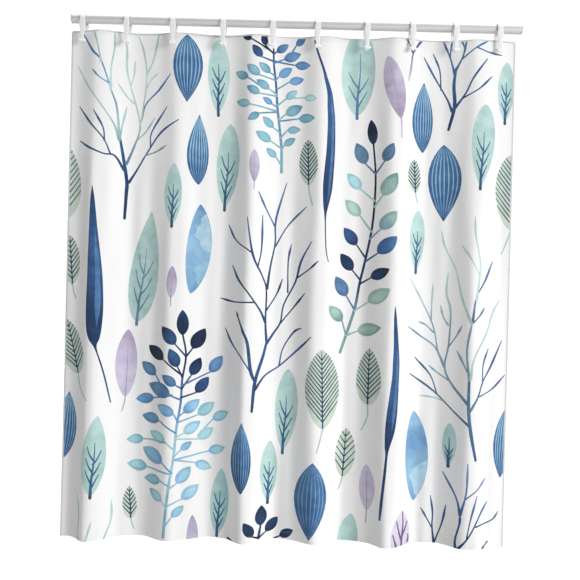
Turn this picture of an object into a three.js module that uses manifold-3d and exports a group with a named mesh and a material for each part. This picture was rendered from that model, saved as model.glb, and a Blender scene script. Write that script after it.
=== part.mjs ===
// Shower curtain: a cloth hung in folds from ten plastic snap hooks on a straight rod.
// Millimetres. The origin is the centre of the rod's left end face, +X runs along the rod,
// +Y points away from the room and +Z is up.
import * as THREE from "three";
import { mergeVertices } from "three/addons/utils/BufferGeometryUtils.js";
import Module from "manifold-3d";

const GAP = 0.3; // clearance kept between separate pieces

const ROD_LENGTH = 1600;
const ROD_RADIUS = 16;
const ROD_WALL = 1.2;
const CAP_THICKNESS = 3;
const CAP_PLUG_DEPTH = 20;
const CAP_PLUG_WALL = 2.5;
const ROUND_SIDES = 32;

const CLOTH_WIDTH = 1580; // as hung, gathered from 1800
const CLOTH_TOP = -42;
const CLOTH_DROP = 1800;
const CLOTH_THICKNESS = 0.6;
const HEM_THICKNESS = 0.5;
const HEADER_HEIGHT = 90;
const BOTTOM_HEM_HEIGHT = 30;
const SIDE_HEM_WIDTH = 14;
const FOLD_DEPTH_TOP = 13; // half the depth of the folds at the top edge
const FOLD_DEPTH_HEM = 35; // and at the bottom hem
// Each fold as [share of the hung width, depth], where -1 is a near fold and 1 a far fold.
const FOLDS = [
  [0, 0.3], [0.062, -1.3], [0.153, 1], [0.24, -0.6], [0.336, 1], [0.412, -1], [0.482, 1],
  [0.567, -0.6], [0.638, 1], [0.732, -1.1], [0.812, 1], [0.913, -1], [1, 0.2],
];
const FOLD_LEAN = 1.7; // above 1, a fold comes forward late and turns over quickly
const WIDEST_COLUMN = 36; // between eyelets the cloth is faceted in columns up to this wide
const CLOTH_ROWS = 9;

const HOOK_X = [44, 199, 362, 540, 716, 875, 1050, 1211, 1364, 1519];
const HOOK_INNER = 20; // half the space between the front and the back arm
const HOOK_THICKNESS = 3;
const HOOK_BAND_HALF_WIDTH = 9.2;
const HOOK_SHOULDER_HALF_WIDTH = 11.2;
const HOOK_ARM_HALF_WIDTH = 7.2;
const HOOK_ARC_CENTRE = ROD_RADIUS + GAP - HOOK_INNER;
const HOOK_BACK_ARM_END = -81;
const FOOT_TOP = -77;
const FOOT_TIP = -82.5;
const FOOT_BOTTOM = -93;
const FOOT_HALF_WIDTH = 13.2;
const FOOT_NOSE = 6; // how far the foot stands forward of the arm
const PEG_RADIUS = 2;
const PEG_Z = -74;
const PEG_TIP_GAP = 0.5;

const EYELET_HOLE_RADIUS = 4.8;
const EYELET_BARREL_RADIUS = 5.6;
const EYELET_OUTER_RADIUS = 8.8;
const EYELET_FLANGE = 1.2;
const EYELET_STAND_OFF = 0.8; // the flat ring clears the curved cloth
const EYELET_Z = PEG_Z - (EYELET_HOLE_RADIUS - PEG_RADIUS - 1);
const EYELET_SIDES = 12;
const EYELET_FLAT = 10; // the cloth lies flat this far to each side of an eyelet

const finish = (color, roughness, metalness) =>
  new THREE.MeshStandardMaterial({ color, roughness, metalness });
const ROD_FINISH = finish(0xc4c6c8, 0.4, 0.7);
const CAP_FINISH = finish(0xd6d8d8, 0.55, 0);
const HOOK_FINISH = finish(0xeef0f2, 0.35, 0);
const CLOTH_FINISH = finish(0xf7f9f9, 0.85, 0);
const HEM_FINISH = finish(0xf0f2f2, 0.9, 0);

const wasm = await Module();
wasm.setup();

const ALONG_X = new THREE.Matrix4().makeBasis(
  new THREE.Vector3(0, 1, 0),
  new THREE.Vector3(0, 0, 1),
  new THREE.Vector3(1, 0, 0),
);
const ALONG_Y = new THREE.Matrix4().makeBasis(
  new THREE.Vector3(1, 0, 0),
  new THREE.Vector3(0, 0, 1),
  new THREE.Vector3(0, -1, 0),
);

// ---- Solids ----

function toSolid(geometry) {
  const bare = new THREE.BufferGeometry();
  bare.setAttribute("position", geometry.getAttribute("position"));
  bare.setIndex(geometry.index);
  const merged = mergeVertices(bare, 1e-3);
  const vertProperties = new Float32Array(merged.getAttribute("position").array);
  const triVerts = new Uint32Array(merged.index.array);
  return new wasm.Manifold(new wasm.Mesh({ numProp: 3, vertProperties, triVerts }));
}

function toGeometry(solid) {
  const { vertProperties, triVerts } = solid.getMesh();
  const geometry = new THREE.BufferGeometry();
  geometry.setAttribute("position", new THREE.BufferAttribute(vertProperties, 3));
  geometry.setIndex(new THREE.BufferAttribute(triVerts, 1));
  return geometry;
}

function named(name, geometry, material) {
  const mesh = new THREE.Mesh(geometry, material);
  mesh.name = name;
  return mesh;
}

// A shape drawn in a plane and given a thickness centred on that plane.
function slab(shape, depth, basis, curveSegments) {
  const geometry = new THREE.ExtrudeGeometry(shape, { depth, bevelEnabled: false, curveSegments });
  return geometry.translate(0, 0, -depth / 2).applyMatrix4(basis);
}

// A ring or plug turned about +Z from [radius, height] corners, closed on itself.
function turned(corners, sides) {
  const profile = [...corners, corners[0]].map(([r, h]) => new THREE.Vector2(r, h));
  return new THREE.LatheGeometry(profile, sides).rotateX(Math.PI / 2);
}

// ---- Rod ----

function rodTube() {
  const inner = ROD_RADIUS - ROD_WALL;
  const start = CAP_THICKNESS + GAP;
  const end = ROD_LENGTH - CAP_THICKNESS - GAP;
  const corners = [[inner, start], [ROD_RADIUS, start], [ROD_RADIUS, end], [inner, end]];
  return turned(corners, ROUND_SIDES).rotateY(Math.PI / 2);
}

function rodCap() {
  const plug = ROD_RADIUS - ROD_WALL - GAP;
  const hollow = plug - CAP_PLUG_WALL;
  const depth = CAP_THICKNESS + CAP_PLUG_DEPTH;
  const profile = [
    [0, 0], [ROD_RADIUS, 0], [ROD_RADIUS, CAP_THICKNESS], [plug, CAP_THICKNESS],
    [plug, depth], [hollow, depth], [hollow, CAP_THICKNESS], [0, CAP_THICKNESS],
  ].map(([r, h]) => new THREE.Vector2(r, h));
  return new THREE.LatheGeometry(profile, ROUND_SIDES).rotateX(Math.PI / 2).rotateY(Math.PI / 2);
}

function rod() {
  const group = new THREE.Group();
  const left = named("rod_end_cap_left", rodCap(), CAP_FINISH);
  const right = named("rod_end_cap_right", rodCap(), CAP_FINISH);
  right.rotation.z = Math.PI;
  right.position.x = ROD_LENGTH;
  group.add(named("rod_tube", rodTube(), ROD_FINISH), left, right);
  return group;
}

// ---- Cloth ----

// Depth of the folds from about -1 at a near fold to 1 at a far fold.
function foldWave(share) {
  const next = Math.max(1, FOLDS.findIndex(([place]) => place >= share));
  const [from, fromDepth] = FOLDS[next - 1];
  const [to, toDepth] = FOLDS[next];
  const along = (share - from) / (to - from);
  const leaned = toDepth < fromDepth ? along ** FOLD_LEAN : along;
  return fromDepth + ((toDepth - fromDepth) * (1 - Math.cos(Math.PI * leaned))) / 2;
}

function clothPoint(x, below) {
  const growth = Math.sin((Math.PI / 2) * (below / CLOTH_DROP));
  const depth = FOLD_DEPTH_TOP + (FOLD_DEPTH_HEM - FOLD_DEPTH_TOP) * growth;
  return new THREE.Vector3(x, depth * foldWave(x / CLOTH_WIDTH), CLOTH_TOP - below);
}

function clothNormal(x, below) {
  const step = 1;
  const here = Math.min(Math.max(x, step), CLOTH_WIDTH - step);
  const across = clothPoint(here + step, below).sub(clothPoint(here - step, below));
  return new THREE.Vector3(-across.y, across.x, 0).normalize();
}

const spread = (start, end, count) =>
  Array.from({ length: count + 1 }, (_, i) => start + ((end - start) * i) / count);

// Across each eyelet the cloth is one flat column.
const COLUMN_STOPS = [
  SIDE_HEM_WIDTH,
  ...HOOK_X.flatMap((x) => [x - EYELET_FLAT, x + EYELET_FLAT]),
  CLOTH_WIDTH - SIDE_HEM_WIDTH,
];
const COLUMNS = [
  0,
  ...COLUMN_STOPS.slice(0, -1).flatMap((start, i) => {
    const end = COLUMN_STOPS[i + 1];
    return spread(start, end, Math.ceil((end - start) / WIDEST_COLUMN)).slice(0, -1);
  }),
  CLOTH_WIDTH - SIDE_HEM_WIDTH,
  CLOTH_WIDTH,
];
const ROWS = [
  0,
  HEADER_HEIGHT,
  ...spread(HEADER_HEIGHT + GAP, CLOTH_DROP - BOTTOM_HEM_HEIGHT - GAP, CLOTH_ROWS),
  CLOTH_DROP - BOTTOM_HEM_HEIGHT,
  CLOTH_DROP,
];

// A closed layer that follows the folds between two distances behind the cloth's middle.
function layer(columns, rows, nearSide, farSide) {
  const points = [];
  for (const offset of [nearSide, farSide])
    for (const below of rows)
      for (const x of columns)
        points.push(clothPoint(x, below).addScaledVector(clothNormal(x, below), offset));
  const width = columns.length;
  const sheet = width * rows.length;
  const index = [];
  const quad = (a, b, c, d) => index.push(a, b, c, a, c, d);
  const at = (column, row) => row * width + column;
  for (let row = 0; row + 1 < rows.length; row++)
    for (let column = 0; column + 1 < width; column++) {
      const corner = at(column, row);
      const across = at(column + 1, row + 1);
      quad(corner, at(column, row + 1), across, at(column + 1, row));
      quad(across + sheet, at(column, row + 1) + sheet, corner + sheet, at(column + 1, row) + sheet);
    }
  const rim = (a, b) => quad(a, b, b + sheet, a + sheet);
  for (let column = 0; column + 1 < width; column++) {
    rim(at(column, 0), at(column + 1, 0));
    rim(at(column + 1, rows.length - 1), at(column, rows.length - 1));
  }
  for (let row = 0; row + 1 < rows.length; row++) {
    rim(at(0, row + 1), at(0, row));
    rim(at(width - 1, row), at(width - 1, row + 1));
  }
  return new THREE.BufferGeometry().setFromPoints(points).setIndex(index);
}

const EYELET_BELOW = CLOTH_TOP - EYELET_Z;

// Puts a piece drawn about +Y at the eyelet of the hook at x, square to the cloth there.
function atEyelet(geometry, x) {
  const left = clothPoint(x - EYELET_FLAT, EYELET_BELOW);
  const right = clothPoint(x + EYELET_FLAT, EYELET_BELOW);
  const turn = Math.atan2(right.y - left.y, right.x - left.x);
  const centre = left.add(right).multiplyScalar(0.5);
  return geometry.rotateZ(turn).translate(centre.x, centre.y, centre.z);
}

// A round piece about +Y from [radius, y] corners.
function ringAcross(corners) {
  return turned(corners, EYELET_SIDES).rotateX(-Math.PI / 2);
}

function punched(geometry) {
  const radius = EYELET_BARREL_RADIUS + 2 * GAP;
  const drill = new THREE.CylinderGeometry(radius, radius, 4 * EYELET_OUTER_RADIUS, EYELET_SIDES);
  return toGeometry(
    HOOK_X.reduce(
      (solid, x) => solid.subtract(toSolid(atEyelet(drill.clone(), x))),
      toSolid(geometry),
    ),
  );
}

const HEM_NEAR = CLOTH_THICKNESS / 2 + GAP;
const HEM_FAR = HEM_NEAR + HEM_THICKNESS;

function curtain() {
  const group = new THREE.Group();
  const half = CLOTH_THICKNESS / 2;
  const hem = (columns, rows) => layer(columns, rows, HEM_NEAR, HEM_FAR);
  const sideRows = ROWS.slice(2, -2);
  group.add(
    named("curtain_cloth", punched(layer(COLUMNS, ROWS, -half, half)), CLOTH_FINISH),
    named("header_band", punched(hem(COLUMNS, ROWS.slice(0, 2))), HEM_FINISH),
    named("bottom_hem", hem(COLUMNS, ROWS.slice(-2)), HEM_FINISH),
    named("side_hem_left", hem(COLUMNS.slice(0, 2), sideRows), HEM_FINISH),
    named("side_hem_right", hem(COLUMNS.slice(-2), sideRows), HEM_FINISH),
  );
  return group;
}

// ---- Eyelets ----

function eyeletFront() {
  const face = -(CLOTH_THICKNESS / 2 + EYELET_STAND_OFF);
  const barrelEnd = HEM_FAR + EYELET_STAND_OFF + EYELET_FLANGE;
  return ringAcross([
    [EYELET_HOLE_RADIUS, face - EYELET_FLANGE],
    [EYELET_OUTER_RADIUS, face - EYELET_FLANGE],
    [EYELET_OUTER_RADIUS, face],
    [EYELET_BARREL_RADIUS, face],
    [EYELET_BARREL_RADIUS, barrelEnd],
    [EYELET_HOLE_RADIUS, barrelEnd],
  ]);
}

function eyeletBack() {
  const face = HEM_FAR + EYELET_STAND_OFF;
  const bore = EYELET_BARREL_RADIUS + GAP;
  return ringAcross([
    [bore, face],
    [EYELET_OUTER_RADIUS, face],
    [EYELET_OUTER_RADIUS, face + EYELET_FLANGE],
    [bore, face + EYELET_FLANGE],
  ]);
}

// ---- Hook ----

// Outline seen from the side, as (y, z): up the back arm, over the rod, down the front arm to
// the foot, and back up the inside.
function hookSide() {
  const outer = HOOK_INNER + HOOK_THICKNESS;
  const nose = -outer - FOOT_NOSE;
  const side = new THREE.Shape();
  side.moveTo(outer, HOOK_BACK_ARM_END);
  side.absarc(0, HOOK_ARC_CENTRE, outer, 0, Math.PI, false);
  side.lineTo(-outer, FOOT_TOP);
  side.quadraticCurveTo(-outer, FOOT_TIP, nose, FOOT_TIP);
  side.quadraticCurveTo(nose, FOOT_BOTTOM, -HOOK_INNER, FOOT_BOTTOM);
  side.absarc(0, HOOK_ARC_CENTRE, HOOK_INNER, Math.PI, 0, true);
  side.lineTo(HOOK_INNER, HOOK_BACK_ARM_END);
  return side;
}

// Right half of the outline seen from the front, as (x, z) from the top down.
const HOOK_FRONT_HALF = [
  [HOOK_BAND_HALF_WIDTH, ROD_RADIUS + HOOK_THICKNESS + 1],
  [HOOK_BAND_HALF_WIDTH, -6],
  [HOOK_SHOULDER_HALF_WIDTH, -20],
  [HOOK_SHOULDER_HALF_WIDTH, -28],
  [HOOK_ARM_HALF_WIDTH, -45],
  [HOOK_ARM_HALF_WIDTH, FOOT_TOP],
  [FOOT_HALF_WIDTH, FOOT_TIP + 1],
  [FOOT_HALF_WIDTH, FOOT_TIP - 2],
];

function hookFront() {
  const left = HOOK_FRONT_HALF.map(([x, z]) => [-x, z]).reverse();
  const outline = [...HOOK_FRONT_HALF, [0, FOOT_BOTTOM - 1], ...left];
  return new THREE.Shape(outline.reverse().map(([x, z]) => new THREE.Vector2(x, z)));
}

function hook() {
  const wide = 4 * (HOOK_INNER + HOOK_THICKNESS + FOOT_NOSE);
  const arms = toSolid(slab(hookSide(), wide, ALONG_X, 8));
  const cut = toSolid(slab(hookFront(), wide, ALONG_Y, 1));
  const pegLength = 2 * HOOK_INNER - PEG_TIP_GAP + 1;
  const peg = new THREE.CylinderGeometry(PEG_RADIUS, PEG_RADIUS, pegLength, 12);
  peg.translate(0, HOOK_INNER + 1 - pegLength / 2, PEG_Z);
  return toGeometry(arms.intersect(cut).add(toSolid(peg)));
}

// ---- Assembly ----

const group = new THREE.Group();
group.add(rod(), curtain());
HOOK_X.forEach((x, i) => {
  const number = String(i + 1).padStart(2, "0");
  const hanger = named(`hook_${number}`, hook(), HOOK_FINISH);
  hanger.position.x = x;
  group.add(
    hanger,
    named(`eyelet_front_${number}`, atEyelet(eyeletFront(), x), HOOK_FINISH),
    named(`eyelet_back_${number}`, atEyelet(eyeletBack(), x), HOOK_FINISH),
  );
});

export default group;
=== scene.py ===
# A printed cloth shower curtain on ten plastic snap hooks and a straight rod, dressed around its frame.
# Shapes are in millimetres and become metres as their meshes are made. Materials, lights and the camera
# are in metres. The cloth and its print are laid out flat: x to the right from the cloth's left edge, and
# z down from its top edge.
import math
from types import SimpleNamespace

import bmesh
import bpy
import numpy as np
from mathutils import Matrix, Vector
from mathutils.geometry import delaunay_2d_cdt


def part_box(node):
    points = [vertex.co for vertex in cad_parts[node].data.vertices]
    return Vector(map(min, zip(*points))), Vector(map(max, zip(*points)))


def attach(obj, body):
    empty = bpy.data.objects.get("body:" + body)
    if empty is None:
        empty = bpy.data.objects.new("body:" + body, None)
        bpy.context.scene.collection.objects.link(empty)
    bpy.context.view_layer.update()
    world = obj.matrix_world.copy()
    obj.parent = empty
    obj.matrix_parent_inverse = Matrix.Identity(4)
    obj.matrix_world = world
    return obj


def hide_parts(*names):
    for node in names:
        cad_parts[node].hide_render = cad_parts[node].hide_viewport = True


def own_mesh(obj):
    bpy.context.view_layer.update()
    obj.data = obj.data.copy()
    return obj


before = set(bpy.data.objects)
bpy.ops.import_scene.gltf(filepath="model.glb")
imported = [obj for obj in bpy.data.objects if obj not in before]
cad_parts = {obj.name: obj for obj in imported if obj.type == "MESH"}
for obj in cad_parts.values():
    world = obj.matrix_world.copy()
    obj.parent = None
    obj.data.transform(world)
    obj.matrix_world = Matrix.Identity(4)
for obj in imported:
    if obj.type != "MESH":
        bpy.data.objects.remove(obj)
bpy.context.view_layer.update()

MM = 0.001
HOOKS = [f"{number:02d}" for number in range(1, 11)]


def middle(cad_node):
    low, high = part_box(cad_node)
    return [(a + b) / 2 for a, b in zip(low, high)]


CLOTH_LOW, CLOTH_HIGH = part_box("curtain_cloth")
CLOTH_WIDTH = (CLOTH_HIGH[0] - CLOTH_LOW[0]) / MM
CLOTH_DROP = (CLOTH_HIGH[2] - CLOTH_LOW[2]) / MM
CLOTH_TOP = CLOTH_HIGH[2] / MM
HOOK_X = [middle(f"hook_{k}")[0] / MM for k in HOOKS]
EYELET_BELOW = CLOTH_TOP - middle("eyelet_front_01")[2] / MM
ROD_LOW, ROD_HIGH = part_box("rod_tube")
ROD_RADIUS = ROD_HIGH[2] / MM
ROD_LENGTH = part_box("rod_end_cap_right")[1][0]  # metres


# ---- Meshes and materials ----


def as_object(name, mesh):
    made = bpy.data.objects.new(name, mesh)
    bpy.context.scene.collection.objects.link(made)
    return made


def mesh_of(name, points, faces):
    mesh = bpy.data.meshes.new(name)
    mesh.from_pydata(np.asarray(points, float).tolist(), [], [list(map(int, face)) for face in faces])
    mesh.polygons.foreach_set("use_smooth", [True] * len(mesh.polygons))
    mesh.update()
    return mesh


def skin(rings, corners, closed=False):
    """Faces over rings of corners, which join up if closed and otherwise have a cap at each end."""
    starts = np.arange(rings if closed else rings - 1)[:, None] * corners
    here = starts + np.arange(corners)
    turned = starts + np.roll(np.arange(corners), -1)
    total = rings * corners
    sides = np.stack([here, turned, (turned + corners) % total, (here + corners) % total], -1)
    caps = [] if closed else [range(corners)[::-1], range(total - corners, total)]
    return [*sides.reshape(-1, 4), *caps]


def node(tree, kind, inputs, **settings):
    made = tree.nodes.new(kind)
    for name, value in settings.items():
        setattr(made, name, value)
    for name, value in inputs.items():
        if isinstance(value, bpy.types.NodeSocket):
            tree.links.new(value, made.inputs[name])
        else:
            made.inputs[name].default_value = value
    return made


def material(name, **shader):
    made = bpy.data.materials.new(name)
    made.use_nodes = True
    principled = made.node_tree.nodes["Principled BSDF"]
    for socket, value in shader.items():
        principled.inputs[socket.replace("_", " ")].default_value = value
    return made, made.node_tree, principled


def toned(tree, principled, low, high, factor):
    """Lets the base colour vary between two linear colours."""
    mix = node(tree, "ShaderNodeMix", {0: factor, 6: (*low, 1), 7: (*high, 1)}, data_type="RGBA")
    tree.links.new(mix.outputs[2], principled.inputs["Base Color"])


def raised(tree, principled, height, distance):
    """Lets a height raise the surface, by a distance in metres for each 1 of height."""
    bump = node(tree, "ShaderNodeBump", {"Height": height, "Distance": distance, "Strength": 1.0})
    tree.links.new(bump.outputs["Normal"], principled.inputs["Normal"])


def noise(tree, where, scale, detail=3.0, roughness=0.5):
    inputs = {"Vector": where, "Scale": scale, "Detail": detail, "Roughness": roughness}
    return node(tree, "ShaderNodeTexNoise", inputs).outputs["Fac"]


def stretched(tree, where, by):
    """The same place with each axis scaled, so that a pattern comes out long and narrow."""
    inputs = {0: where, 1: by}
    return node(tree, "ShaderNodeVectorMath", inputs, operation="MULTIPLY").outputs[0]


def maths(tree, operation, *values):
    return node(tree, "ShaderNodeMath", dict(enumerate(values)), operation=operation).outputs[0]


def own_place(tree):
    return node(tree, "ShaderNodeTexCoord", {}).outputs["Object"]


def woven(tree, where, pitch):
    """Height of a plain weave of round threads, from -1 to 1, at a place in metres on flat cloth."""
    turns = 2 * math.pi / pitch
    scaled = stretched(tree, where, (turns, turns, 0))
    waves = node(tree, "ShaderNodeVectorMath", {0: scaled}, operation="SINE").outputs[0]
    parts = node(tree, "ShaderNodeSeparateXYZ", {0: waves}).outputs
    return maths(tree, "MULTIPLY", parts[0], parts[1])


def printed_cloth():
    """Woven polyester, with the ink of the print pooling and drying unevenly."""
    made, tree, principled = material(
        "printed_cloth", Roughness=0.82, Sheen_Weight=0.12, Sheen_Roughness=0.5, Specular_IOR_Level=0.25
    )
    place = node(tree, "ShaderNodeAttribute", {}, attribute_name="flat_place").outputs["Vector"]
    ink = node(tree, "ShaderNodeAttribute", {}, attribute_name="ink")
    pools = noise(tree, place, 26.0, 4.0, 0.55)
    grain = noise(tree, place, 240.0, 3.0, 0.6)
    uneven = maths(tree, "ADD", maths(tree, "MULTIPLY", pools, 1.5), maths(tree, "MULTIPLY", grain, 0.5))
    uneven = maths(tree, "SUBTRACT", uneven, 0.5)
    amount = maths(tree, "MULTIPLY", ink.outputs["Alpha"], 0.5)
    inputs = {0: amount, 6: ink.outputs["Color"], 7: uneven}
    mottled = node(tree, "ShaderNodeMix", inputs, data_type="RGBA", blend_type="SOFT_LIGHT")
    slubs = noise(tree, stretched(tree, place, (1.0, 14.0, 1.0)), 60.0)
    thread = woven(tree, place, THREAD_PITCH)
    # Painted shade: the base colour is a little darker in the hollows of the weave. The slubs vary it
    # further, at random.
    shade = maths(tree, "MULTIPLY_ADD", thread, 0.012, 0.985)
    slubs_and_weave_shade = maths(tree, "MULTIPLY_ADD", slubs, 0.03, shade)
    inputs = {0: 1.0, 6: mottled.outputs[2], 7: slubs_and_weave_shade}
    cloth = node(tree, "ShaderNodeMix", inputs, data_type="RGBA", blend_type="MULTIPLY")
    tree.links.new(cloth.outputs[2], principled.inputs["Base Color"])
    height = maths(tree, "ADD", thread, maths(tree, "MULTIPLY", slubs, 1.4))
    raised(tree, principled, height, 0.00012)
    return made


def plain_cloth(name, pitch, low, high):
    """The same cloth without a print, between two linear colours."""
    made, tree, principled = material(
        name, Roughness=0.86, Sheen_Weight=0.1, Sheen_Roughness=0.5, Specular_IOR_Level=0.25
    )
    place = node(tree, "ShaderNodeAttribute", {}, attribute_name="flat_place").outputs["Vector"]
    slubs = noise(tree, stretched(tree, place, (1.0, 14.0, 1.0)), 70.0)
    toned(tree, principled, low, high, slubs)
    height = maths(tree, "ADD", woven(tree, place, pitch), slubs)
    raised(tree, principled, height, 0.00015)
    return made


def moulded_plastic(name, low, high, roughness):
    """Milky injection-moulded plastic, with flow marks and a fine orange peel."""
    made, tree, principled = material(
        name,
        Roughness=roughness,
        Subsurface_Weight=0.25,
        Subsurface_Radius=(0.004, 0.004, 0.004),
        Subsurface_Scale=0.5,
        Coat_Weight=0.15,
    )
    place = own_place(tree)
    toned(tree, principled, low, high, noise(tree, stretched(tree, place, (1, 1, 0.35)), 120.0))
    raised(tree, principled, noise(tree, place, 900.0, 2.0), 0.00004)
    return made


def satin_metal():
    """Grey drawn tube with a satin lacquer and fine lines along it."""
    made, tree, principled = material("satin_rod", Metallic=0.3, Roughness=0.45)
    place = own_place(tree)
    lines = noise(tree, stretched(tree, place, (0.8, 60.0, 60.0)), 12.0, 4.0, 0.6)
    toned(tree, principled, (0.56, 0.56, 0.56), (0.66, 0.66, 0.66), lines)
    raised(tree, principled, lines, 0.00003)
    return made


def thread_finish():
    made, tree, principled = material("sewing_thread", Roughness=0.7, Sheen_Weight=0.3)
    twist = noise(tree, own_place(tree), 1800.0, 2.0)
    toned(tree, principled, (0.66, 0.68, 0.70), (0.82, 0.84, 0.85), twist)
    raised(tree, principled, twist, 0.0001)
    return made


THREAD_PITCH, HEADER_PITCH = 0.0011, 0.0014
CLOTH_TONES = (0.82, 0.83, 0.83), (0.91, 0.91, 0.91)
FINISHES = SimpleNamespace(
    cloth=printed_cloth(),
    header=plain_cloth("header_cloth", HEADER_PITCH, *CLOTH_TONES),
    hem=plain_cloth("hem_cloth", THREAD_PITCH, *CLOTH_TONES),
    thread=thread_finish(),
    hook=moulded_plastic("hook_plastic_milky", (0.80, 0.80, 0.80), (0.88, 0.88, 0.88), 0.3),
    eyelet=moulded_plastic("eyelet_plastic_white", (0.80, 0.81, 0.82), (0.88, 0.89, 0.89), 0.35),
    rod=satin_metal(),
    cap=moulded_plastic("cap_plastic_grey", (0.60, 0.61, 0.61), (0.68, 0.69, 0.69), 0.5),
)


# ---- The hung cloth ----

FOLD_DEPTH_TOP = 13.0
FOLD_DEPTH_HEM = 35.0
FOLD_LEAN = 1.7  # above 1, the cloth stays far for longer and then comes forward steeply
# Folds as (share of the cloth's width, depth), where a depth below 0 is nearer to the viewer.
FOLDS = np.array([
    (0, 0.3), (0.062, -1.3), (0.153, 1), (0.24, -0.6), (0.336, 1), (0.412, -1), (0.482, 1),
    (0.567, -0.6), (0.638, 1), (0.732, -1.1), (0.812, 1), (0.913, -1), (1, 0.2),
])
# Soft creases as (depth, wave length across, drift across per mm of drop, phase).
CREASES = [(1.5, 118.0, 0.05, 0.4), (1.1, 83.0, -0.07, 2.1), (0.7, 57.0, 0.04, 4.4)]
CREASE_AT_TOP = 0.35  # share of the depth at the top edge, and as much more than all of it at the hem
CREASE_BEND, CREASE_BEND_DROP = 0.8, 310
EYELET_FLAT = 10.0  # radius of the flat patch at an eyelet
EYELET_FADE = 16.0  # width of the ring around it where the cloth eases back into its folds
CLOTH_THICKNESS = 0.5
HEM_NEAR = 0.6  # from the cloth's middle layer back to a hem's face
HEM_THICKNESS = 0.45


def eased(share):
    share = np.clip(share, 0, 1)
    return share * share * (3 - 2 * share)


def fold_wave(share):
    """Depth of the folds from about -1 at a near fold to 1 at a far fold."""
    share = np.clip(share, 0, 1)
    after = np.clip(np.searchsorted(FOLDS[:, 0], share), 1, len(FOLDS) - 1)
    start, start_depth = FOLDS[after - 1].T
    end, end_depth = FOLDS[after].T
    along = (share - start) / (end - start)
    along = np.where(end_depth < start_depth, along**FOLD_LEAN, along)
    return start_depth + (end_depth - start_depth) * (1 - np.cos(np.pi * along)) / 2


def loose_depth(x, z):
    """Depth of the folds and creases, which grow towards the hem, as if no eyelet held the cloth."""
    growth = np.sin(np.pi / 2 * np.clip(z / CLOTH_DROP, 0, 1))
    depth = (FOLD_DEPTH_TOP + (FOLD_DEPTH_HEM - FOLD_DEPTH_TOP) * growth) * fold_wave(x / CLOTH_WIDTH)
    for size, length, drift, phase in CREASES:
        bend = CREASE_BEND * np.sin(z / CREASE_BEND_DROP + phase)
        turn = 2 * np.pi * (x + drift * z) / length + phase + bend
        depth = depth + size * (CREASE_AT_TOP + growth) * np.sin(turn)
    return depth


def chord(hook):
    """Depth and slope of the flat patch of cloth at a hook's eyelet."""
    sides = loose_depth(np.array([hook - EYELET_FLAT, hook + EYELET_FLAT]), EYELET_BELOW)
    return sides.mean(), (sides[1] - sides[0]) / (2 * EYELET_FLAT)


def cloth_depth(x, z):
    """Depth of the cloth with a flat patch at every eyelet."""
    depth = loose_depth(x, z)
    for hook in HOOK_X:
        centre, slope = chord(hook)
        away = np.hypot(x - hook, z - EYELET_BELOW)
        held = 1 - eased((away - EYELET_FLAT) / EYELET_FADE)
        depth = depth + held * (centre + slope * (x - hook) - depth)
    return depth


def on_cloth(x, z, in_front=0.0):
    """Points on the hung cloth in metres, some millimetres in front of its middle layer."""
    x, z = np.asarray(x, float), np.asarray(z, float)
    points = np.stack([x, cloth_depth(x, z), CLOTH_TOP - z], axis=-1)
    return (points + cloth_normal(x, z) * np.asarray(in_front, float)[..., None]) * MM


def cloth_normal(x, z, step=0.5):
    """Unit vectors out of the cloth's printed side."""
    across = (cloth_depth(x + step, z) - cloth_depth(x - step, z)) / (2 * step)
    down = (cloth_depth(x, z + step) - cloth_depth(x, z - step)) / (2 * step)
    normal = np.stack([across, -np.ones_like(across), -down], axis=-1)
    return normal / np.linalg.norm(normal, axis=-1, keepdims=True)


# ---- Print: shapes of watercolour ink on the flat cloth ----

INKS = {  # red, green and blue as a screen shows them
    "inky": (20, 38, 62), "navy": (34, 60, 98), "indigo": (54, 90, 138), "blue": (80, 122, 166),
    "azure": (112, 156, 198), "sky": (148, 190, 216), "pale": (176, 208, 226),
    "slate": (92, 124, 154), "steel": (126, 158, 180), "teal": (100, 150, 174),
    "sea": (134, 180, 196), "mint": (190, 222, 218), "aqua": (160, 204, 210),
    "shade": (174, 203, 200), "sage": (199, 214, 199), "moss": (160, 190, 177),
    "green": (120, 158, 155), "vein": (52, 92, 122), "lilac": (204, 196, 218),
    "mauve": (170, 160, 186), "blush": (222, 214, 228), "plum": (112, 82, 130),
}
# Linear colours on the cloth, whose fourth value is how far the wash mottles them.
CLOTH_WHITE = (0.912, 0.908, 0.907, 0.0)
# Painted shade: a grey painted along the top and both side edges, where the turned edge is shaded.
EDGE_PAINTED_SHADE = (0.66, 0.67, 0.68, 0.1)
BRIGHTEST_INK = 0.9
THROUGH = 0.3  # share of the ink that shows on the back of the cloth


def ink_colour(name):
    """The ink's linear colour."""
    share = np.array(INKS[name]) / 255
    return np.where(share <= 0.04045, share / 12.92, ((share + 0.055) / 1.055) ** 2.4)


def wash(start, end, *names, lighter=1.0):
    """Ink that runs from one point to another through the named inks."""
    stops = np.array([(*ink_colour(name), 1.0) for name in names])
    stops[:, :3] = np.minimum(stops[:, :3] * lighter, BRIGHTEST_INK)
    start, run = np.array(start, float), np.subtract(end, start).astype(float)

    def paint(points):
        along = (points - start) @ run / (run @ run) * (len(stops) - 1)
        return np.stack([np.interp(along, range(len(stops)), channel) for channel in stops.T], -1)

    return paint


def two_sided(start, end, left, right):
    """Ink that changes across a line, such as a leaf's midrib."""
    run = np.subtract(end, start) / math.dist(start, end)
    reach = 0.16 * math.dist(start, end)
    across = reach * np.array([run[1], -run[0]])
    return wash(start - across, start + across, left, right)


def plain(colour):
    return lambda points: np.tile(colour, (len(points), 1))


def shape(outline, paint):
    """An outline on the flat cloth with its paint, or a hole where the paint is None."""
    return SimpleNamespace(outline=np.asarray(outline, float), paint=paint)


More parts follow.
